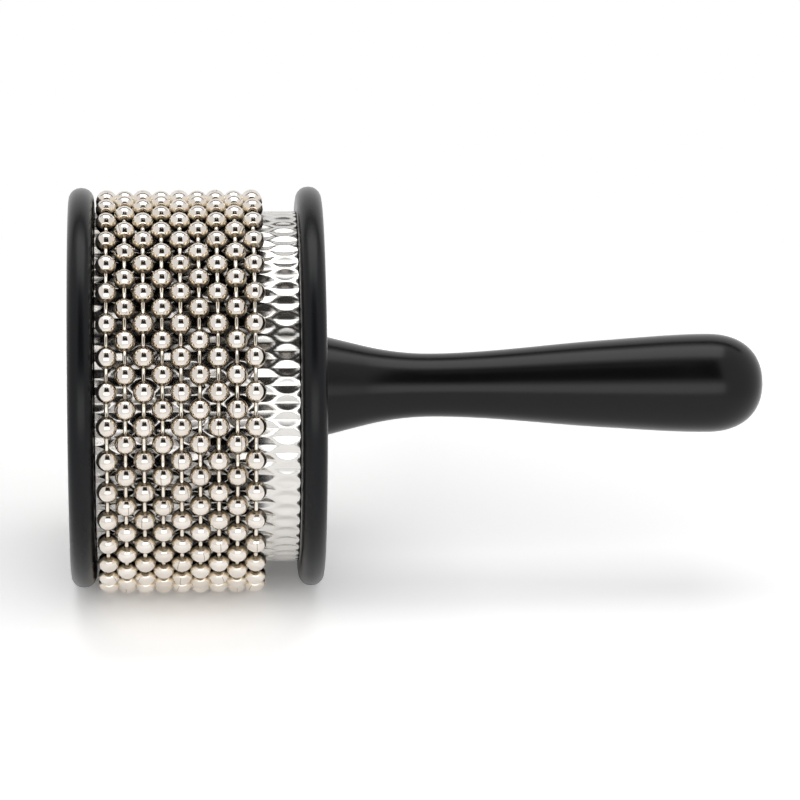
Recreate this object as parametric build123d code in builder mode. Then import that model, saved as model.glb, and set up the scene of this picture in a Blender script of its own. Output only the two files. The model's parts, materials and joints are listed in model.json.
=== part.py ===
from build123d import *
from math import cos, pi, radians, sin, sqrt, tan
import os

# A cabasa lying on its side: a drum with nine loose loops of ball chain and a turned handle.
# Millimetres. The drum's axis lies along X, with the handle towards +X, and +Z is up.
# The origin is on the surface that the hanging loops touch, below the middle of the whole length.
# Places along the drum are counted from the far disc's outer face.

# Bead loops
loop_count = 9
bead_diameter = 6.0
bead_wall = 0.35
bead_spacing = 9.55      # target distance from bead to bead along the chain
loop_slack = 1.8         # play between a loop lying centred on the wrap and the wrap
loop_lift = 0.3          # gap left where a hanging loop lies on the wrap
nesting = 0.85           # how far the beads of one loop reach in between those of the next
side_gap = 0.6           # room between the outermost beads and a disc
free_width = 9.0         # room along the drum for the loops to spread

# Pins that string the beads
pin_diameter = 1.05
pin_play = 0.1           # clearance of a pin in its bead, all round
pin_catch = 0.2          # how far a pin's head reaches past the edge of the bead's hole

# Drum
wrap_diameter = 100.0    # over the bosses of the embossed sheet
wrap_thickness = 0.8     # sheet and boss height together
wrap_fit = 0.05
seam_width = 0.4
spigot_diameter = 80.0   # the core's round ends, which centre the discs
spigot_length = 1.4
spigot_fit = 0.1

# Seam tacks
tacks_per_row = 5
tack_row_spread = 7.0    # distance between the two rows, across the seam
tack_end_margin = 6.0
tack_diameter = 1.2
tack_length = 8.0
tack_head_diameter = 2.8
tack_head_height = 0.35
tack_head_seat = 0.03    # lets the flat head clear the round of the wrap
tack_fit = 0.05

# End discs
disc_diameter = 114.0
disc_thickness = 7.2
rim_flat = 1.2           # straight band left between the two rim roundings

# Handle, from the disc outwards: a cone, a waist, a swelling grip and a full round end
cone_length = 11.5
cone_slope = 0.25        # fall of the radius per millimetre, next to the disc
neck_distance = 31.0     # from the disc to the waist
swell_distance = 49.5    # from the waist to where the grip stops widening fast
flare_length = 79.2      # from the waist to the widest place
end_length = 16.2        # from the widest place to the tip
end_fullness = 2.3       # 2 is an ellipse, and more is squarer
base_diameter = 28.8
neck_diameter = 17.8
swell_diameter = 24.6
swell_slope = 0.065      # rise of the radius per millimetre at that place
grip_diameter = 27.6
tenon_diameter = 16.0
tenon_gap = 0.2          # between the tenon and the core
tenon_fit = 0.1

# Bolt, washer and the bush in the handle
bolt_diameter = 6.0
bolt_hole_fit = 0.4
bolt_head_diameter = 13.0
bolt_head_height = 2.6
bolt_head_rounding = 1.2
bolt_head_sink = 0.3     # how far the head lies below the face of the disc
bolt_grip = 16.0         # length of bolt inside the bush
bolt_end_chamfer = 0.75
slot_width = 1.3
slot_length = 7.0
slot_depth = 1.3
washer_diameter = 18.0
washer_thickness = 1.1
washer_fit = 0.5
insert_diameter = 10.0
insert_length = 20.0
insert_flange_diameter = 13.0
insert_flange_height = 1.2
insert_sink = 0.4
insert_fit = 0.05
thread_fit = 0.05
bolt_end_room = 6.0      # blind hole beyond the bush

# Sizes that follow from those above
bead_radius = bead_diameter / 2
bead_bore = bead_radius - bead_wall
wrap_radius = wrap_diameter / 2
core_radius = wrap_radius - wrap_thickness - wrap_fit
loop_radius = wrap_radius + bead_radius + loop_slack
beads_per_loop = round(2 * pi * loop_radius / bead_spacing)
half_step = 180 / beads_per_loop
bead_pitch = 2 * loop_radius * sin(radians(half_step))
loop_drop = loop_slack - loop_lift
loop_spacing = bead_diameter - nesting

drum_width = 2 * side_gap + bead_diameter + (loop_count - 1) * loop_spacing + free_width
core_start = disc_thickness
core_end = core_start + drum_width
handle_start = core_end + disc_thickness
first_loop = core_start + side_gap + bead_radius
rim_rounding = (disc_thickness - rim_flat) / 2
overall_length = handle_start + neck_distance + flare_length + end_length
axis_height = loop_drop + loop_radius + bead_radius

disc_recess = spigot_length + spigot_fit
counterbore_depth = bolt_head_sink + bolt_head_height + washer_thickness
tenon_face = core_end + disc_recess + tenon_gap
insert_start = tenon_face + insert_sink
insert_end = insert_start + insert_length
bolt_head_seat = bolt_head_sink + bolt_head_height
bolt_end = insert_start + bolt_grip
bolt_hole_radius = bolt_diameter / 2 + bolt_hole_fit

# A pin lies along the chord from bead to bead, so it tilts by half a step in the bead's own hole.
tilt = radians(half_step)
hole_radius = pin_diameter / 2 / cos(tilt) + bead_radius * tan(tilt) + pin_play
hole_edge = sqrt(bead_bore**2 - hole_radius**2)
pin_head_radius = hole_radius + pin_catch
# The head's centre is where the head clears the inner edge of the hole by the play.
edge_along_pin = hole_edge * cos(tilt) + hole_radius * sin(tilt)
pin_head_place = edge_along_pin - sqrt(
    edge_along_pin**2 - bead_bore**2 + (pin_head_radius + pin_play) ** 2
)


def along_drum(place, drop=0.0):
    """A plane across the drum, facing the handle, with its own x direction along +Y."""
    centre = (place - overall_length / 2, 0, axis_height - drop)
    return Plane(origin=centre, x_dir=(0, 1, 0), z_dir=(1, 0, 0))


def tack_places():
    """Places on the wrap at the back, with z pointing outwards, in two rows beside the seam."""
    row_angle = tack_row_spread / 2 / wrap_radius
    run = drum_width - 2 * tack_end_margin
    places = []
    for side in (-1, 1):
        for step in range(tacks_per_row):
            across = along_drum(core_start + tack_end_margin + run * step / (tacks_per_row - 1))
            out = across.x_dir * cos(row_angle) + across.y_dir * side * sin(row_angle)
            foot = across.origin + out * wrap_radius
            places.append(Plane(origin=foot, x_dir=across.z_dir, z_dir=out).location)
    return places


def finish(built, name):
    built.part.label = name
    export_step(built.part, f"parts/{name}.step")


os.makedirs("parts", exist_ok=True)

# Far disc: counterbored for the bolt, recessed inside for the core's spigot
with BuildPart() as far_disc:
    with BuildSketch(along_drum(0)):
        Circle(disc_diameter / 2)
    extrude(amount=disc_thickness)
    fillet(far_disc.edges().filter_by(GeomType.CIRCLE), radius=rim_rounding)
    with BuildSketch(along_drum(core_start)):
        Circle(spigot_diameter / 2 + spigot_fit)
    extrude(amount=-disc_recess, mode=Mode.SUBTRACT)
    with Locations(-along_drum(0)):
        CounterBoreHole(
            radius=bolt_hole_radius,
            counter_bore_radius=washer_diameter / 2 + washer_fit,
            counter_bore_depth=counterbore_depth,
        )
finish(far_disc, "far_disc")

# Handle side disc: the same disc turned round, with a hole for the handle's tenon
with BuildPart() as handle_side_disc:
    with BuildSketch(along_drum(core_end)):
        Circle(disc_diameter / 2)
    extrude(amount=disc_thickness)
    fillet(handle_side_disc.edges().filter_by(GeomType.CIRCLE), radius=rim_rounding)
    with BuildSketch(along_drum(core_end)):
        Circle(spigot_diameter / 2 + spigot_fit)
    extrude(amount=disc_recess, mode=Mode.SUBTRACT)
    with Locations(along_drum(handle_start)):
        Hole(radius=tenon_diameter / 2 + tenon_fit)
finish(handle_side_disc, "handle_side_disc")

# Core: a turned cylinder with a spigot at each end, bored for the bolt and drilled for the tacks
with BuildPart() as core:
    with BuildSketch(along_drum(core_start)):
        Circle(core_radius)
    extrude(amount=drum_width)
    with BuildSketch(along_drum(core_start - spigot_length)):
        Circle(spigot_diameter / 2)
    extrude(amount=drum_width + 2 * spigot_length)
    with Locations(along_drum(core_end + spigot_length)):
        Hole(radius=bolt_hole_radius)
    with Locations(tack_places()):
        Cylinder(
            radius=tack_diameter / 2 + tack_fit,
            height=tack_length + tack_fit,
            align=(Align.CENTER, Align.CENTER, Align.MAX),
            mode=Mode.SUBTRACT,
        )
finish(core, "core")

# Wrap: a sheet bent round the core with its two edges meeting at the back
with BuildPart() as steel_wrap:
    with BuildSketch(along_drum(core_start)):
        Circle(wrap_radius)
        Circle(wrap_radius - wrap_thickness, mode=Mode.SUBTRACT)
        with Locations((wrap_radius, 0)):
            Rectangle(wrap_radius, seam_width, mode=Mode.SUBTRACT)
    extrude(amount=drum_width)
    with Locations(tack_places()):
        Cylinder(
            radius=tack_diameter / 2 + tack_fit,
            height=tack_length,
            mode=Mode.SUBTRACT,
        )
finish(steel_wrap, "steel_wrap")

# Tacks: short nails with flat round heads
with BuildPart() as tack:
    Cylinder(
        radius=tack_diameter / 2,
        height=tack_length + tack_head_seat,
        align=(Align.CENTER, Align.CENTER, Align.MAX),
    )
    Cylinder(
        radius=tack_head_diameter / 2,
        height=tack_head_height,
        align=(Align.CENTER, Align.CENTER, Align.MIN),
    )

with BuildPart() as seam_tacks:
    with Locations([place * Pos(Z=tack_head_seat) for place in tack_places()]):
        add(tack.part)
finish(seam_tacks, "seam_tacks")

# Handle: one turned profile, with a tenon for the disc and a blind hole for the bush and bolt
neck_place = handle_start + neck_distance
widest_place = neck_place + flare_length
cone_end = (handle_start + cone_length, base_diameter / 2 - cone_slope * cone_length)
widest = (widest_place, grip_diameter / 2)
tip = (overall_length, 0)
# The end is a superellipse, given by a few points of its formula.
end_curve = [
    (
        widest_place + end_length * cos(radians(angle)) ** (2 / end_fullness),
        grip_diameter / 2 * sin(radians(angle)) ** (2 / end_fullness),
    )
    for angle in (70, 50, 30, 12)
]
lengthwise = Plane(origin=along_drum(0).origin, x_dir=(1, 0, 0), z_dir=(0, -1, 0))
with BuildPart() as handle:
    with BuildSketch(lengthwise):
        with BuildLine():
            Polyline(
                tip,
                (tenon_face, 0),
                (tenon_face, tenon_diameter / 2),
                (handle_start, tenon_diameter / 2),
                (handle_start, base_diameter / 2),
                cone_end,
            )
            Spline(
                cone_end,
                (neck_place, neck_diameter / 2),
                (neck_place + swell_distance, swell_diameter / 2),
                widest,
                tangents=[(1, -cone_slope), (1, 0), (1, swell_slope), (1, 0)],
            )
            Spline(widest, *end_curve, tip, tangents=[(1, 0), (0, -1)])
        make_face()
    revolve(axis=Axis(along_drum(0).origin, (1, 0, 0)))
    with BuildSketch(along_drum(tenon_face)):
        Circle(bolt_hole_radius)
    extrude(amount=insert_end + bolt_end_room - tenon_face, mode=Mode.SUBTRACT)
    with BuildSketch(along_drum(tenon_face)):
        Circle(insert_diameter / 2 + insert_fit)
    extrude(amount=insert_end - tenon_face, mode=Mode.SUBTRACT)
    with BuildSketch(along_drum(tenon_face)):
        Circle(insert_flange_diameter / 2 + insert_fit)
    extrude(amount=insert_sink + insert_flange_height, mode=Mode.SUBTRACT)
finish(handle, "handle")

# Bush: a flanged sleeve in the handle's tenon that takes the bolt
with BuildPart() as handle_insert:
    with BuildSketch(along_drum(insert_start)):
        Circle(insert_diameter / 2)
    extrude(amount=insert_length)
    with BuildSketch(along_drum(insert_start)):
        Circle(insert_flange_diameter / 2)
    extrude(amount=insert_flange_height)
    with Locations(along_drum(insert_end)):
        Hole(radius=bolt_diameter / 2 + thread_fit)
finish(handle_insert, "handle_insert")

# Bolt: a rounded head with a driving cross, and a plain shank
with BuildPart() as through_bolt:
    with BuildSketch(along_drum(bolt_head_sink)):
        Circle(bolt_head_diameter / 2)
    extrude(amount=bolt_head_height)
    fillet(through_bolt.edges().group_by(Axis.X)[0], radius=bolt_head_rounding)
    with BuildSketch(along_drum(bolt_head_sink)):
        Rectangle(slot_length, slot_width)
        Rectangle(slot_width, slot_length)
    extrude(amount=slot_depth, mode=Mode.SUBTRACT)
    with BuildSketch(along_drum(bolt_head_seat)):
        Circle(bolt_diameter / 2)
    extrude(amount=bolt_end - bolt_head_seat)
    chamfer(through_bolt.edges().group_by(Axis.X)[-1], length=bolt_end_chamfer)
finish(through_bolt, "through_bolt")

with BuildPart() as bolt_washer:
    with BuildSketch(along_drum(bolt_head_seat)):
        Circle(washer_diameter / 2)
        Circle(bolt_hole_radius, mode=Mode.SUBTRACT)
    extrude(amount=washer_thickness)
finish(bolt_washer, "bolt_washer")

# One bead: a hollow ball, bored from end to end along the chain, which is its own Y
with BuildPart() as bead:
    with BuildSketch(Plane.XY):
        Circle(bead_radius)
        Circle(bead_bore, mode=Mode.SUBTRACT)
        with Locations((hole_radius, 0)):
            Rectangle(bead_diameter, bead_diameter, align=(Align.MIN, Align.CENTER), mode=Mode.INTERSECT)
    revolve(axis=Axis.Y)

# One pin: a wire with a round head at each end, inside two neighbouring beads
pin_length = bead_pitch - 2 * pin_head_place
with BuildPart() as link:
    Cylinder(radius=pin_diameter / 2, height=pin_length, rotation=(90, 0, 0))
    with Locations((0, -pin_length / 2, 0), (0, pin_length / 2, 0)):
        Sphere(radius=pin_head_radius, rotation=(90, 0, 0))

# Loops hang on the drum, each one turned half a bead from the next
for loop in range(loop_count):
    across = along_drum(first_loop + loop * loop_spacing, drop=loop_drop)
    turn = half_step * (loop % 2)
    with BuildPart(across) as loop_beads:
        with PolarLocations(loop_radius, beads_per_loop, start_angle=turn):
            add(bead.part)
    finish(loop_beads, f"loop_{loop + 1}_beads")
    with BuildPart(across) as loop_links:
        with PolarLocations(loop_radius * cos(tilt), beads_per_loop, start_angle=turn + half_step):
            add(link.part)
    finish(loop_links, f"loop_{loop + 1}_links")

print("beads per loop", beads_per_loop, "pitch", round(bead_pitch, 3), "hole radius", round(hole_radius, 3))
print("pin head place", round(pin_head_place, 3), "drum", round(core_start, 2), round(core_end, 2))
print("handle from", round(handle_start, 2), "to", round(overall_length, 2))
print("axis height", round(axis_height, 2), "room to spread", free_width)
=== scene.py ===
import json
import math
import bmesh
import bpy
import numpy as np
from mathutils import Matrix, Vector

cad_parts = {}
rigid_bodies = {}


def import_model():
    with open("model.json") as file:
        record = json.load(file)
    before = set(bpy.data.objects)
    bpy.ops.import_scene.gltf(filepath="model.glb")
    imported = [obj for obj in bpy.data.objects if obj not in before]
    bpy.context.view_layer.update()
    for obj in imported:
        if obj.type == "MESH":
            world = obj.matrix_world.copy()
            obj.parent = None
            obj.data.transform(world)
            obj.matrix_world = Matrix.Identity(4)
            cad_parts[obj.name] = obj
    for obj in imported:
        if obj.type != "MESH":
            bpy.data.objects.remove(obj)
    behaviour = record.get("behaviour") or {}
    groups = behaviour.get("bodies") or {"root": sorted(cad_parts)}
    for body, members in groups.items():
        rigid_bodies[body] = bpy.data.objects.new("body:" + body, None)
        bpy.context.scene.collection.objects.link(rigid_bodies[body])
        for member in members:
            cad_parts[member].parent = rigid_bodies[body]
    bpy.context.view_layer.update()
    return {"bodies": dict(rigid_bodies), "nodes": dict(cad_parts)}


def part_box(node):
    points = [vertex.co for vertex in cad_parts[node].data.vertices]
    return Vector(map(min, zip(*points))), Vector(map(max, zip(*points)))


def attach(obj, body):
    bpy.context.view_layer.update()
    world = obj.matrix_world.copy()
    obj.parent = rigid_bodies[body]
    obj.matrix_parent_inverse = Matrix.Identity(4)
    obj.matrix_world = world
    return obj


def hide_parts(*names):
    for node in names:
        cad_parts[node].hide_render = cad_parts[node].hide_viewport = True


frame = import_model()
mm = 0.001
draw = np.random.default_rng(34)  # the one source of the small differences from bead to bead

# Places that the frame gives: the drum's axis lies along X
farLow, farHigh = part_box("far_disc")
_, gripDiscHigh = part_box("handle_side_disc")
handleLow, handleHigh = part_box("handle")
wrapLow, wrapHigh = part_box("steel_wrap")
axisHeight = (farLow.z + farHigh.z) / 2
discRadius = (farHigh.z - farLow.z) / 2
wrapRadius = (wrapHigh.z - wrapLow.z) / 2
print("frame: axis height", round(axisHeight / mm, 2), "mm, disc radius", round(discRadius / mm, 2), "mm")


def linear(hexColour):
    # sRGB hex to linear light: the two-part sRGB curve, channel by channel
    channels = np.array([int(hexColour[i:i + 2], 16) for i in (1, 3, 5)]) / 255
    light = np.where(channels <= 0.04045, channels / 12.92, ((channels + 0.055) / 1.055) ** 2.4)
    return (*light.tolist(), 1.0)


def addNode(tree, kind, inputs=None, **settings):
    # one node with its settings: a socket given as an input is linked, anything else is a plain value
    node = tree.nodes.new(kind)
    for name, value in settings.items():
        setattr(node, name, value)
    for name, value in (inputs or {}).items():
        if isinstance(value, bpy.types.NodeSocket):
            tree.links.new(value, node.inputs[name])
        else:
            node.inputs[name].default_value = value
    return node


def startMaterial(name):
    material = bpy.data.materials.new(name)
    material.use_nodes = True
    material.node_tree.nodes.clear()
    return material, material.node_tree


def finishMaterial(tree, inputs):
    shader = addNode(tree, "ShaderNodeBsdfPrincipled", inputs)
    addNode(tree, "ShaderNodeOutputMaterial", {"Surface": shader.outputs[0]})


def objectPlace(tree):
    return addNode(tree, "ShaderNodeTexCoord").outputs["Object"]


def cloudNoise(tree, size, detail=2.0):
    # noise on Object coordinates, its size in mm
    inputs = {"Vector": objectPlace(tree), "Scale": 1 / (size * mm), "Detail": detail}
    return addNode(tree, "ShaderNodeTexNoise", inputs).outputs[0]


def grainNoise(tree, length, width, detail):
    # noise drawn out along X, its length and width in mm
    across = 1 / (width * mm)
    inputs = {"Vector": objectPlace(tree), "Scale": (1 / (length * mm), across, across)}
    stretch = addNode(tree, "ShaderNodeMapping", inputs).outputs[0]
    return addNode(tree, "ShaderNodeTexNoise", {"Vector": stretch, "Scale": 1.0, "Detail": detail}).outputs[0]


def mixColours(tree, share, first, second):
    # from the first colour to the second, each a hex colour or a socket
    first, second = (linear(end) if isinstance(end, str) else end for end in (first, second))
    return addNode(tree, "ShaderNodeMix", {0: share, 6: first, 7: second}, data_type="RGBA").outputs[2]


def ramp(tree, value, source=(0.0, 1.0), result=(0.0, 1.0), **settings):
    # one range of a value carried to another, and held at both ends
    inputs = {"Value": value, "From Min": source[0], "From Max": source[1]}
    inputs.update({"To Min": result[0], "To Max": result[1]})
    return addNode(tree, "ShaderNodeMapRange", inputs, **settings).outputs[0]


def reckon(tree, operation, *values, **settings):
    inputs = dict(enumerate(values))
    return addNode(tree, "ShaderNodeMath", inputs, operation=operation, **settings).outputs[0]


def distanceFrom(tree, value, place):
    return reckon(tree, "ABSOLUTE", reckon(tree, "SUBTRACT", value, place))


def softenCorners(corners, steps=6):
    # a closed outline of (place, radius, rounding): each corner becomes an arc tangent to both its sides
    points, rounding = np.array(corners)[:, :2], np.array(corners)[:, 2]
    back, ahead = np.roll(points, 1, axis=0) - points, np.roll(points, -1, axis=0) - points
    back /= np.linalg.norm(back, axis=1, keepdims=True)
    ahead /= np.linalg.norm(ahead, axis=1, keepdims=True)
    half = np.arccos(np.clip((back * ahead).sum(axis=1), -1, 1)) / 2
    middle = back + ahead
    middle /= np.linalg.norm(middle, axis=1, keepdims=True)
    centre = points + middle * (rounding / np.sin(half))[:, None]
    reach = (rounding / np.tan(half))[:, None]
    first, last = points + back * reach - centre, points + ahead * reach - centre
    sweep = (math.pi - 2 * half)[:, None, None]
    t = np.linspace(0, 1, steps)[None, :, None]
    arcs = (np.sin((1 - t) * sweep) * first[:, None] + np.sin(t * sweep) * last[:, None]) / np.sin(sweep)
    return (centre[:, None] + arcs).reshape(-1, 2)


def turned(profile, steps):
    # a profile of (place along X, radius) carried round the drum's axis
    angle = np.linspace(0, 2 * math.pi, steps, endpoint=False)
    place, radius = profile[:, :1], profile[:, 1:]
    across, up = radius * np.cos(angle), axisHeight + radius * np.sin(angle)
    return np.stack([place + 0 * across, across, up], axis=-1)[None]


def putPiece(name, grid, material, body, replaced, closeRows=False, sharp=None, marks=None):
    # a grid of (copies, rows, columns): four neighbours make a face, columns always close, and rows may
    copies, rows, columns, _ = grid.shape
    faceRows = rows if closeRows else rows - 1
    k, r, c = np.meshgrid(np.arange(copies), np.arange(faceRows), np.arange(columns), indexing="ij")
    step = np.array([[0, 0], [0, 1], [1, 1], [1, 0]])
    row, column = r[..., None] + step[:, 0], c[..., None] + step[:, 1]
    faces = ((k[..., None] * rows + row % rows) * columns + column % columns).reshape(-1, 4)
    uv = np.stack([column / columns, row / rows], axis=-1).reshape(-1, 4, 2)
    points = grid.reshape(-1, 3)
    corner = points[faces] - points.mean(axis=0)
    # six times the signed volume: below zero, the faces look inwards and are turned round
    volume = (corner[:, 0] * np.cross(corner[:, 1], corner[:, 2])).sum()
    volume += (corner[:, 0] * np.cross(corner[:, 2], corner[:, 3])).sum()
    if volume < 0:
        faces, uv = faces[:, ::-1], uv[:, ::-1]
    mesh = bpy.data.meshes.new(name)
    mesh.vertices.add(len(points))
    mesh.vertices.foreach_set("co", points.astype(np.float32).ravel())
    mesh.loops.add(faces.size)
    mesh.loops.foreach_set("vertex_index", faces.astype(np.int32).ravel())
    mesh.polygons.add(len(faces))
    mesh.polygons.foreach_set("loop_start", np.arange(0, faces.size, 4, dtype=np.int32))
    mesh.update(calc_edges=True)
    mesh.uv_layers.new(name="around").data.foreach_set("uv", uv.astype(np.float32).ravel())
    for mark, values in (marks or {}).items():
        layer = mesh.attributes.new(mark, "FLOAT", "POINT")
        layer.data.foreach_set("value", np.broadcast_to(values, grid.shape[:3]).astype(np.float32).ravel())
    closePoles(mesh)
    mesh.shade_smooth()
    if sharp:
        mesh.set_sharp_from_angle(angle=math.radians(sharp))
    mesh.materials.append(material)
    piece = bpy.data.objects.new(name, mesh)
    bpy.context.scene.collection.objects.link(piece)
    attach(piece, body)
    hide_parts(*replaced)
    return piece


def closePoles(mesh, within=1e-8):
    # the points of a pole lie on one spot and become one point
    work = bmesh.new()
    work.from_mesh(mesh)
    bmesh.ops.remove_doubles(work, verts=work.verts, dist=within)
    work.to_mesh(mesh)
    work.free()


# Satin lacquer sprayed on turned wood: nearly black, softly glossy, with a faint orange-peel skin
def satinLacquer(name, look):
    material, tree = startMaterial(name)
    cloud = cloudNoise(tree, look["cloud"], detail=3.0)
    peel = cloudNoise(tree, look["peel"])
    bump = {"Height": peel, "Strength": look["skin"], "Distance": look["skinDepth"] * mm}
    finishMaterial(tree, {
        "Base Color": mixColours(tree, cloud, look["dark"], look["light"]),
        "Roughness": ramp(tree, cloud, result=look["roughness"]),
        "Normal": addNode(tree, "ShaderNodeBump", bump).outputs[0],
        "Specular IOR Level": look["gloss"],
    })
    return material


# Handle: cone, waist, swelling grip and full round end, with the tenon and its bore hidden in the disc
handleForm = dict(
    coneLength=11.5, coneSlope=0.25, neckDistance=31.0, swellDistance=49.5, swellSlope=0.065,
    flareLength=79.2, endFullness=2.3, baseRadius=14.4, neckRadius=9.05, swellRadius=12.5,
    gripRadius=14.1, tenonRadius=8.0, boreRadius=3.4, bushRadius=5.05, flangeRadius=6.55,
    flangeHeight=1.6, bushEnd=20.4, boreEnd=26.4, curveSteps=84, endSteps=30, steps=112, sharp=35,
)
handleLook = dict(
    dark="#050506", light="#0B0B0C", cloud=14.0, peel=1.5, roughness=(0.19, 0.25), skin=0.05,
    skinDepth=0.05, gloss=0.24,
)


def handleOutline(form):
    # places in mm from the tenon's end, where the handle's box starts
    start, tip = gripDiscHigh.x / mm - handleLow.x / mm, (handleHigh.x - handleLow.x) / mm
    inner = [
        (form["boreEnd"], 0), (form["boreEnd"], form["boreRadius"]), (form["bushEnd"], form["boreRadius"]),
        (form["bushEnd"], form["bushRadius"]), (form["flangeHeight"], form["bushRadius"]),
        (form["flangeHeight"], form["flangeRadius"]), (0, form["flangeRadius"]), (0, form["tenonRadius"]),
        (start, form["tenonRadius"]), (start, form["baseRadius"]),
    ]
    # the long curve is a cubic between knots that each have a radius and a slope
    cone = start + form["coneLength"]
    neck = start + form["neckDistance"]
    knot = np.array([cone, neck, neck + form["swellDistance"], neck + form["flareLength"]])
    coneRadius = form["baseRadius"] - form["coneSlope"] * form["coneLength"]
    radius = np.array([coneRadius, form["neckRadius"], form["swellRadius"], form["gripRadius"]])
    slope = np.array([-form["coneSlope"], 0, form["swellSlope"], 0])
    place = np.linspace(knot[0], knot[-1], form["curveSteps"])
    k = np.clip(np.searchsorted(knot, place, side="right") - 1, 0, len(knot) - 2)
    run = knot[k + 1] - knot[k]
    t = (place - knot[k]) / run
    curve = radius[k] * (1 + 2 * t) * (1 - t) ** 2 + radius[k + 1] * t ** 2 * (3 - 2 * t)
    curve += run * (slope[k] * t * (1 - t) ** 2 - slope[k + 1] * t ** 2 * (1 - t))
    # the end is a superellipse: cosine and sine to the power of two over the fullness
    angle = np.linspace(math.pi / 2, 0, form["endSteps"])[1:]
    power = 2 / form["endFullness"]
    endPlace = knot[-1] + (tip - knot[-1]) * np.maximum(np.cos(angle), 0) ** power
    endRadius = form["gripRadius"] * np.sin(angle) ** power
    outline = np.vstack([inner, np.stack([place, curve], 1), np.stack([endPlace, endRadius], 1)])
    return outline * mm + (handleLow.x, 0)


handleLacquer = satinLacquer("satinBlackLacquerOnWood", handleLook)
handlePiece = putPiece(
    "handle_turned", turned(handleOutline(handleForm), handleForm["steps"]), handleLacquer,
    "drum", ["handle"], sharp=handleForm["sharp"],
)
print("handle: turned outline,", len(handlePiece.data.polygons), "faces")

# End discs: the same turned disc twice, rounded rims outside, recessed inside for the core
discForm = dict(
    rimRounding=3.4, edge=0.25, recessRadius=40.1, recessDepth=1.5, boltRadius=3.4, sinkRadius=9.5,
    sinkDepth=4.0, tenonRadius=8.1, steps=192, flatWeight=80,
)
discLook = dict(
    dark="#07080A", light="#0E0F12", cloud=22.0, peel=1.2, roughness=(0.24, 0.31), skin=0.04,
    skinDepth=0.05, gloss=0.19,
)
discLacquer = satinLacquer("satinBlackLacquerOnDisc", discLook)


def discOutline(form, hole):
    # corners in mm as (depth from the outer face, radius, rounding), the hole's first
    thick, radius = (farHigh.x - farLow.x) / mm, discRadius / mm
    floor = thick - form["recessDepth"]
    rim = [
        (0, radius, form["rimRounding"]), (thick, radius, form["rimRounding"]),
        (thick, form["recessRadius"], form["edge"]), (floor, form["recessRadius"], form["edge"]),
    ]
    return np.array(hole(form, floor) + rim) * mm


def sunkHole(form, floor):
    # the bolt's hole, wider from the outer face down to the sink's depth
    bolt, sink, edge = form["boltRadius"], form["sinkRadius"], form["edge"]
    depth = form["sinkDepth"]
    return [(floor, bolt, edge), (depth, bolt, edge), (depth, sink, edge), (0, sink, edge)]


def plainHole(form, floor):
    tenon, edge = form["tenonRadius"], form["edge"]
    return [(floor, tenon, edge), (0, tenon, edge)]


farOutline = softenCorners(discOutline(discForm, sunkHole)) + (farLow.x, 0)
gripOutline = softenCorners(discOutline(discForm, plainHole)) * (-1, 1) + (gripDiscHigh.x, 0)
for discName, outline, node in (
    ("far_disc_turned", farOutline, "far_disc"),
    ("grip_disc_turned", gripOutline, "handle_side_disc"),
):
    disc = putPiece(
        discName, turned(outline, discForm["steps"]), discLacquer, "drum", [node],
        closeRows=True,
    )
    disc.modifiers.new("evenFlats", "WEIGHTED_NORMAL").weight = discForm["flatWeight"]
print("discs: two turned discs")

# Wrap: thin stainless sheet pressed with staggered lens dents, lapped and tacked at the back
wrapForm = dict(
    dentsRound=66, phase=0.29, columnPitch=6.6, lastColumn=3.9, dentLength=7.3, dentWidth=4.4, dentDepth=0.58,
    lensFullness=0.7, crease=0.58, inside=0.8, lap=11.0, lapSoft=1.5, seamWidth=0.1, seamDepth=0.25,
    edgeRoll=0.3, edgeDrop=0.2, lipPlaces=(0.0, 0.5, 1.0, 1.8), stepsPerDent=17, rows=80, sharp=50,
)
wrapLook = dict(
    colour="#DAD8D5", shade="#CBC8C4", roughness=(0.14, 0.21), grain=0.25, grainLength=9.0, skin=0.06,
    # the last colour below is painted shade for the hollows and for the sheet under the chains
    skinDepth=0.02, hollow=7.0, hollowSamples=6, hollowShares=(0.2, 0.45), hollowShade="#4E4740",
)


def dentDepths(form, place, angle):
    # each column of dents stands half a dent round from the next, and the deepest dent wins at a point
    pitch = form["columnPitch"]
    column = (wrapHigh.x / mm - form["lastColumn"] - place) / pitch
    depth = np.zeros_like(column + angle)
    for offset in (-1, 0, 1):
        near = np.round(column) + offset
        along = (column - near) * pitch / (form["dentLength"] / 2)
        turn = angle / (2 * math.pi) * form["dentsRound"] - form["phase"] + 0.5 * (near % 2)
        around = (turn - np.round(turn)) * 2 * math.pi * wrapRadius / mm / form["dentsRound"]
        # a lens outline: its half width is a power of one minus the square of the place along it
        lens = np.clip(1 - along ** 2, 1e-6, None) ** form["lensFullness"]
        share = np.clip(np.abs(around) / (form["dentWidth"] / 2 * lens), 0, 1)
        # two flanks that meet in a crease, a little hollow across
        flanks = (1 - form["crease"]) * (1 - share ** 2) + form["crease"] * (1 - share)
        depth = np.maximum(depth, lens * flanks * (np.abs(along) < 1))
    return form["dentDepth"] * depth


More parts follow.
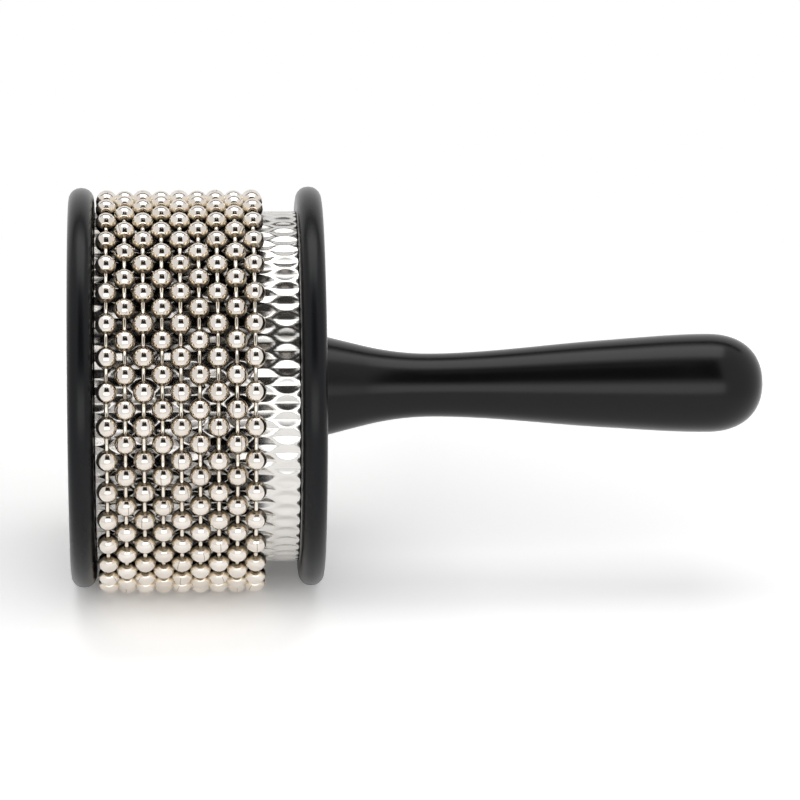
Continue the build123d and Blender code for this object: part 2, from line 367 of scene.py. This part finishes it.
def wrapGrid(form):
    # at each angle: a line along X over the dents, then back along the smooth inside
    columns = form["dentsRound"] * form["stepsPerDent"]
    angle = np.linspace(0, 2 * math.pi, columns, endpoint=False)
    low, high, outside = wrapLow.x / mm, wrapHigh.x / mm, wrapRadius / mm
    # the rows of the rolled lips stand in for the two even rows at each edge
    lip = form["edgeRoll"] * np.array(form["lipPlaces"])
    even = np.linspace(low, high, form["rows"])[2:-2]
    place = np.hstack([low + lip, even, high - lip[::-1]])[:, None]
    # the lap at the back is plain, and its edge is a fine groove
    fromSeam = np.abs((angle + math.pi) % (2 * math.pi) - math.pi) * outside
    plain = np.clip((form["lap"] / 2 - fromSeam) / form["lapSoft"] + 0.5, 0, 1)
    radius = outside - dentDepths(form, place, angle) * (1 - plain)
    radius -= form["seamDepth"] * (fromSeam < form["seamWidth"])
    # both edges roll down as a parabola
    fromEdge = np.minimum(place - low, high - place)
    radius -= form["edgeDrop"] * np.clip(1 - fromEdge / form["edgeRoll"], 0, 1) ** 2
    radius = np.vstack([radius, np.full((2, columns), outside - form["inside"])]) * mm
    place = np.vstack([place, place[-1:], place[:1]]) * mm
    across, up = radius * np.cos(angle), axisHeight + radius * np.sin(angle)
    return np.stack([place + 0 * radius, across, up], -1)[None]


def hollowShadeMask(tree, look):
    # ambient occlusion as a mask: one where a surface stands open, falling to zero in the hollows, where
    # painted shade goes
    reach = {"Distance": look["hollow"] * mm}
    hollow = addNode(tree, "ShaderNodeAmbientOcclusion", reach, samples=look["hollowSamples"])
    return ramp(tree, hollow.outputs["AO"], look["hollowShares"])


# Stainless sheet, bright rolled and pressed: a soft mirror with a faint grain along the roll, with painted
# shade darkening it in the hollows and where the chains cover it
def rolledStainless(name, look):
    material, tree = startMaterial(name)
    grain = grainNoise(tree, look["grainLength"], look["grain"], detail=3.0)
    rolled = mixColours(tree, grain, look["shade"], look["colour"])
    bump = {"Height": grain, "Strength": look["skin"], "Distance": look["skinDepth"] * mm}
    finishMaterial(tree, {
        # the base colour falls to the painted shade colour in the hollows and under the chains
        "Base Color": mixColours(tree, hollowShadeMask(tree, look), look["hollowShade"], rolled),
        "Metallic": 1.0,
        "Roughness": ramp(tree, grain, result=look["roughness"]),
        "Normal": addNode(tree, "ShaderNodeBump", bump).outputs[0],
    })
    return material


stainless = rolledStainless("brightRolledStainless", wrapLook)
wrapPiece = putPiece(
    "embossed_wrap", wrapGrid(wrapForm), stainless, "drum", ["steel_wrap"],
    closeRows=True, sharp=wrapForm["sharp"],
)
print("wrap:", len(wrapPiece.data.polygons), "faces")

# Beads: hollow balls drawn in to a short neck at each hole, with a fine joint from hole to hole
beadForm = dict(
    radius=3.0, hole=0.85, wall=0.35, neckAngle=38.0, liningPlace=0.86, liningRadius=0.4, perLoop=36,
    outerRows=8, steps=16,
)
beadLook = dict(
    colour="#E2DCD5", shade="#D7CFC6", roughness=(0.08, 0.13), cloud=2.5, joint="#6E6253", jointPlace=0.5,
    # the warm colour of the flanks is a painted sheen that stands for the reflections between beads
    jointWidth=0.012, jointStrength=0.7, flankSheen="#E4D6BF", flankPlaces=(0.6, 0.25), flankRough=0.34,
    # the dark colour of the undersides is painted shade on the sides that face the drum
    underShade="#1E1913", underPlaces=(0.12, -0.1),
)


def beadOutline(form):
    # (place along the hole, radius): the ball between two straight tapers tangent to it, then the inner wall
    start = math.radians(form["neckAngle"])
    polar = np.linspace(start, math.pi - start, form["outerRows"])
    ball = form["radius"] * np.stack([np.cos(polar), np.sin(polar)], axis=1)
    neckRun = (ball[0, 1] - form["hole"]) / math.cos(start)
    neck = ball[0] + neckRun * np.array([math.sin(start), -math.cos(start)])
    inner = form["radius"] - form["wall"]
    place, radius = form["liningPlace"], form["liningRadius"]
    lining = inner * np.array([[-place, radius], [0, 1], [place, radius]])
    return np.vstack([neck, ball, neck * (-1, 1), lining]) * mm


def loopFrame(loop, shift):
    # the loop's centre and radius, and for each place round it: outward direction, direction along the chain
    low, high = (np.array(corner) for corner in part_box(f"loop_{loop}_beads"))
    ringRadius = ((high - low)[1:] / 2).max() - beadForm["radius"] * mm
    step = 2 * math.pi / beadForm["perLoop"]
    # every second loop is turned by half a bead
    angle = step * (np.arange(beadForm["perLoop"]) + 0.5 * ((loop + 1) % 2) + shift)
    zero = np.zeros_like(angle)
    outward = np.stack([zero, np.cos(angle), np.sin(angle)], axis=1)
    along = np.stack([zero, -np.sin(angle), np.cos(angle)], axis=1)
    return (low + high) / 2, ringRadius, outward, along


def strung(outline, steps, centres, along, outward, spin):
    # an outline of (place, radius) turned about the chain's own direction at each centre
    angle = np.linspace(0, 2 * math.pi, steps, endpoint=False) + spin[:, None]
    place, radius = outline[:, 0][None, :, None, None], outline[:, 1][None, :, None, None]
    sideways = np.array([1.0, 0, 0])
    ring = np.cos(angle)[..., None] * outward[:, None] + np.sin(angle)[..., None] * sideways
    return centres[:, None, None] + place * along[:, None, None] + radius * ring[:, None]


def crownOf(grid, centres, outward):
    # how far each point of a bead faces out from the drum: one on its crown, zero at its flanks
    return np.einsum("krcx,kx->krc", grid - centres[:, None, None], outward) / (beadForm["radius"] * mm)


def burnishedNickel(tree, look):
    # the plating's colour, a little different from bead to bead, and its roughness
    tone = addNode(tree, "ShaderNodeAttribute", attribute_name="tone").outputs["Fac"]
    polish = ramp(tree, cloudNoise(tree, look["cloud"]), result=look["roughness"])
    return mixColours(tree, tone, look["shade"], look["colour"]), polish


# Nickel-plated steel beads: crowns burnished to a warm mirror, flanks rougher where their neighbours scuff
# them and painted with a warm light sheen for the reflections between beads, sides towards the drum painted
# dark as shade, and a dark line at the joint
def nickelBead(name, look):
    material, tree = startMaterial(name)
    plating, polish = burnishedNickel(tree, look)
    # the joint is at one place of the turn that the UV map counts
    around = addNode(tree, "ShaderNodeTexCoord").outputs["UV"]
    turn = addNode(tree, "ShaderNodeSeparateXYZ", {0: around}).outputs[0]
    fromJoint = distanceFrom(tree, turn, look["jointPlace"])
    joint = ramp(tree, fromJoint, (0.0, look["jointWidth"]), (look["jointStrength"], 0.0))
    whole = mixColours(tree, joint, plating, look["joint"])
    crown = addNode(tree, "ShaderNodeAttribute", attribute_name="crown").outputs["Fac"]
    # the flanks get a rougher finish where scuffed and a painted warm sheen for reflections between beads
    scuffAndSheen = ramp(tree, crown, look["flankPlaces"])
    # the sides towards the drum get painted shade
    underShadeShare = ramp(tree, crown, look["underPlaces"])
    flanked = mixColours(tree, scuffAndSheen, whole, look["flankSheen"])
    rough = addNode(tree, "ShaderNodeMix", {0: scuffAndSheen, 2: polish, 3: look["flankRough"]})
    finishMaterial(tree, {
        "Base Color": mixColours(tree, underShadeShare, flanked, look["underShade"]),
        "Metallic": 1.0,
        "Roughness": rough.outputs[0],
    })
    return material


# Pins: drawn wire with a round head inside each bead
pinForm = dict(
    radius=0.6, headRadius=1.09, headPlace=1.58, headAngles=(0, 45, 90, 135), shoulder=0.88, steps=12,
)
pinLook = dict(colour="#E6DFD3", shade="#D9D0C3", roughness=(0.12, 0.2), cloud=1.0)


def pinOutline(form, pitch):
    # half a pin from its head's tip to its middle, then the same turned round
    head = pitch / 2 / mm - form["headPlace"]
    angle = np.radians(form["headAngles"])
    half = np.stack([head + form["headRadius"] * np.cos(angle), form["headRadius"] * np.sin(angle)], axis=1)
    half = np.vstack([half, [[head - form["headRadius"] * form["shoulder"], form["radius"]]]])
    return np.vstack([half, half[::-1] * (-1, 1)]) * mm


# Nickel-plated wire: drawn through a die, a little duller than the beads
def nickelWire(name, look):
    material, tree = startMaterial(name)
    plating, polish = burnishedNickel(tree, look)
    finishMaterial(tree, {"Base Color": plating, "Metallic": 1.0, "Roughness": polish})
    return material


beadPlating = nickelBead("nickelPlatedBead", beadLook)
pinPlating = nickelWire("nickelPlatedWire", pinLook)
perLoop = beadForm["perLoop"]
halfStep = math.pi / perLoop
loops = sum(name.startswith("bead_loop_") for name in frame["bodies"])
for loop in range(1, loops + 1):
    centre, ringRadius, outward, along = loopFrame(loop, 0)
    spin = draw.uniform(0, 2 * math.pi, perLoop)
    centres = centre + ringRadius * outward
    beads = strung(beadOutline(beadForm), beadForm["steps"], centres, along, outward, spin)
    tone = draw.uniform(0, 1, (perLoop, 1, 1))
    putPiece(
        f"loop_{loop}_bead_row", beads, beadPlating, f"bead_loop_{loop}",
        [f"loop_{loop}_beads"], closeRows=True, marks=dict(tone=tone, crown=crownOf(beads, centres, outward)),
    )
    # a pin stands half way between two beads, on the straight line that joins them
    _, _, outward, along = loopFrame(loop, 0.5)
    pins = strung(
        pinOutline(pinForm, 2 * ringRadius * math.sin(halfStep)), pinForm["steps"],
        centre + ringRadius * math.cos(halfStep) * outward, along, outward, np.zeros(perLoop),
    )
    putPiece(
        f"loop_{loop}_pin_row", pins, pinPlating, f"bead_loop_{loop}",
        [f"loop_{loop}_links"], marks=dict(tone=tone),
    )
print("loops:", loops, "of", perLoop, "beads and pins")

# Pieces that keep their CAD shape
zincLook = dict(colour="#C9CCCF", shade="#A9ADB2", roughness=(0.28, 0.42), spangle=0.8)
brassLook = dict(colour="#D8B566", shade="#B8924A", roughness=(0.2, 0.32), spangle=1.5)
beechLook = dict(colour="#D9B78C", shade="#A9805A", roughness=0.6, grain=3.0, grainLength=40.0)


# Small metal: steel with a blue-grey zinc coat, or brass from the lathe, both a little cloudy
def smallMetal(name, look):
    material, tree = startMaterial(name)
    cloud = cloudNoise(tree, look["spangle"], detail=4.0)
    finishMaterial(tree, {
        "Base Color": mixColours(tree, cloud, look["shade"], look["colour"]),
        "Metallic": 1.0,
        "Roughness": ramp(tree, cloud, result=look["roughness"]),
    })
    return material


# Turned beech for the core: bare and pale, with a long soft grain along the drum
def turnedBeech(name, look):
    material, tree = startMaterial(name)
    grain = grainNoise(tree, look["grainLength"], look["grain"], detail=5.0)
    tint = mixColours(tree, grain, look["shade"], look["colour"])
    finishMaterial(tree, {"Base Color": tint, "Roughness": look["roughness"]})
    return material


zinc = smallMetal("zincPlatedSteel", zincLook)
brass = smallMetal("turnedBrass", brassLook)
beech = turnedBeech("turnedBeech", beechLook)
keptMaterials = dict(seam_tacks=zinc, through_bolt=zinc, bolt_washer=zinc, handle_insert=brass, core=beech)
for node, material in keptMaterials.items():
    frame["nodes"][node].data.materials.clear()
    frame["nodes"][node].data.materials.append(material)
print("kept nodes:", ", ".join(keptMaterials))

# Camera: well back, a little above, straight across from the drum and turned to the middle of the whole
viewForm = dict(
    distance=1.45, elevation=20.0, straightAhead=-0.0722, centre=-0.00496, below=0.0042, width=0.2287,
    roll=0.465, sensor=36.0, clip=(0.05, 20.0),
)
lift, roll = math.radians(viewForm["elevation"]), math.radians(viewForm["roll"])
lengthwise = Vector((1, 0, 0))
upward = Vector((0, math.sin(lift), math.cos(lift)))
toCamera = Vector((0, -math.cos(lift), math.sin(lift)))
axisPoint = Vector((0, 0, axisHeight))
eye = axisPoint + toCamera * viewForm["distance"] + lengthwise * viewForm["straightAhead"]
target = axisPoint + lengthwise * viewForm["centre"] - upward * viewForm["below"]
ahead = (target - eye).normalized()
level = (lengthwise - ahead * lengthwise.dot(ahead)).normalized()
over = level.cross(ahead)
right = level * math.cos(roll) - over * math.sin(roll)
facing = Matrix((right, right.cross(ahead), -ahead)).transposed().to_4x4()
camera = bpy.data.objects.new("camera", bpy.data.cameras.new("camera"))
bpy.context.scene.collection.objects.link(camera)
camera.data.sensor_width = viewForm["sensor"]
camera.data.lens = viewForm["sensor"] * viewForm["distance"] / viewForm["width"]
camera.data.clip_start, camera.data.clip_end = viewForm["clip"]
camera.matrix_world = Matrix.Translation(eye) @ facing
bpy.context.scene.camera = camera
print("camera: lens", round(camera.data.lens, 1), "mm")

# Light: a white room with a soft box above and a low one in front. Angles are degrees above the view line.
# The room's near side adds the front level for matt surfaces.
roomForm = dict(colour="#FFFFFF", seen=1.0, matt=0.15, front=2.0)
topBox = dict(level=2.05, angle=80.0, distance=0.8, size=(0.72, 0.48))
frontBox = dict(level=1.65, angle=-13.0, distance=0.8, size=(0.85, 0.34))
# Boards that only mirrors see: an upright one stands across the view line, the other hangs over the drum
darkPatch = dict(distance=0.6, angles=(8.0, 55.0), halfWidth=0.29, colour="#24211E", upright=True)
lightDot = dict(distance=0.58, angles=(41.0, 50.0), halfWidth=0.1, colour="#B4AEA6", upright=True)
darkStrip = dict(distance=0.9, angles=(105.0, 116.0), halfWidth=0.8, colour="#101011", upright=False)


def aboveView(angle, distance, side=0.0):
    # a point at an angle above the view line, at a distance from the drum's axis
    turn = math.radians(angle)
    return axisPoint + (toCamera * math.cos(turn) + upward * math.sin(turn)) * distance + lengthwise * side


def seenLevel(tree, seen, other):
    # one level where the ray comes from the camera, a mirror or glass, and another for matt surfaces
    rays = addNode(tree, "ShaderNodeLightPath").outputs
    cameraOrMirror = reckon(tree, "ADD", rays["Is Camera Ray"], rays["Is Glossy Ray"])
    plain = reckon(tree, "ADD", cameraOrMirror, rays["Is Transmission Ray"], use_clamp=True)
    return ramp(tree, plain, result=(other, seen))


def softBox(name, form):
    lamp = bpy.data.lights.new(name, "AREA")
    lamp.shape = "RECTANGLE"
    lamp.size, lamp.size_y = form["size"]
    lamp.energy = form["level"] * math.pi * lamp.size * lamp.size_y
    box = bpy.data.objects.new(name, lamp)
    box.location = aboveView(form["angle"], form["distance"])
    box.rotation_mode = "QUATERNION"
    box.rotation_quaternion = (axisPoint - box.location).to_track_quat("-Z", "Y")
    box.visible_camera = False
    bpy.context.scene.collection.objects.link(box)


def flatSheet(name, corners, material):
    mesh = bpy.data.meshes.new(name)
    mesh.from_pydata(corners, [], [(0, 1, 2, 3)])
    mesh.materials.append(material)
    sheet = bpy.data.objects.new(name, mesh)
    bpy.context.scene.collection.objects.link(sheet)
    return sheet


def mirrorBoard(name, form):
    material, tree = startMaterial(name)
    plain = addNode(tree, "ShaderNodeEmission", {"Color": linear(form["colour"])})
    addNode(tree, "ShaderNodeOutputMaterial", {"Surface": plain.outputs[0]})
    half = form["halfWidth"]
    corners = []
    for angle, sides in zip(form["angles"], ((-half, half), (half, -half))):
        # an upright board is further from the axis the higher it reaches
        lean = math.cos(math.radians(angle)) if form["upright"] else 1.0
        corners += [aboveView(angle, form["distance"] / lean, side) for side in sides]
    board = flatSheet(name, corners, material)
    board.visible_camera = False
    board.visible_diffuse = False
    board.visible_shadow = False


world = bpy.data.worlds.new("whiteRoom")
world.use_nodes = True
roomTree = world.node_tree
roomTree.nodes.clear()
bpy.context.scene.world = world
# for matt surfaces the room is brightest behind the camera, where Y is lowest
direction = addNode(roomTree, "ShaderNodeTexCoord").outputs["Generated"]
backward = addNode(roomTree, "ShaderNodeSeparateXYZ", {0: direction}).outputs["Y"]
mattLevels = (roomForm["matt"] + roomForm["front"], roomForm["matt"])
roomLevel = seenLevel(roomTree, roomForm["seen"], ramp(roomTree, backward, (-1.0, 0.0), mattLevels))
room = addNode(roomTree, "ShaderNodeBackground", {"Color": linear(roomForm["colour"]), "Strength": roomLevel})
addNode(roomTree, "ShaderNodeOutputWorld", {"Surface": room.outputs[0]})
softBox("topBox", topBox)
softBox("frontBox", frontBox)
mirrorBoard("darkPatch", darkPatch)
mirrorBoard("lightDot", lightDot)
mirrorBoard("darkStrip", darkStrip)

# White table: overexposed paper to the camera and to mirrors, plain paper to matt surfaces, plain white far
# off. The strip before the drum is lit more than the rest, and glow is light that comes through the paper.
tableForm = dict(
    stripEdge=(0.035, 0.075), stripLevels=(1.4, 1.3), glow=0.03, far=1.0, fade=(0.16, 0.34), bounced=0.65,
    reach=3.0,
)
tablePaper, paperTree = startMaterial("whiteTable")
tablePlace = objectPlace(paperTree)
lengthPlace = addNode(paperTree, "ShaderNodeSeparateXYZ", {0: tablePlace}).outputs["X"]
fromDrum = distanceFrom(paperTree, lengthPlace, (farLow.x + gripDiscHigh.x) / 2)
nearDrum = ramp(
    paperTree, fromDrum, tableForm["stripEdge"], tableForm["stripLevels"], interpolation_type="SMOOTHSTEP",
)
paperLevel = seenLevel(paperTree, nearDrum, tableForm["bounced"])
glowLevel = seenLevel(paperTree, tableForm["glow"], 0.0)
farLevel = seenLevel(paperTree, tableForm["far"], tableForm["bounced"])
paper = addNode(paperTree, "ShaderNodeBsdfDiffuse", {"Color": paperLevel}).outputs[0]
litThrough = addNode(paperTree, "ShaderNodeEmission", {"Strength": glowLevel}).outputs[0]
litPaper = addNode(paperTree, "ShaderNodeAddShader", {0: paper, 1: litThrough}).outputs[0]
farWhite = addNode(paperTree, "ShaderNodeEmission", {"Strength": farLevel}).outputs[0]
away = addNode(paperTree, "ShaderNodeVectorMath", {0: tablePlace}, operation="LENGTH").outputs["Value"]
fade = ramp(paperTree, away, tableForm["fade"], interpolation_type="SMOOTHSTEP")
tableSkin = addNode(paperTree, "ShaderNodeMixShader", {0: fade, 1: litPaper, 2: farWhite})
addNode(paperTree, "ShaderNodeOutputMaterial", {"Surface": tableSkin.outputs[0]})
reach = tableForm["reach"]
tableCorners = [(-reach, -reach, 0), (reach, -reach, 0), (reach, reach, 0), (-reach, reach, 0)]
flatSheet("table", tableCorners, tablePaper)
bpy.context.scene.view_settings.view_transform = "Standard"
print("light: white room, two soft boxes, dark patch, light dot, dark strip and table")
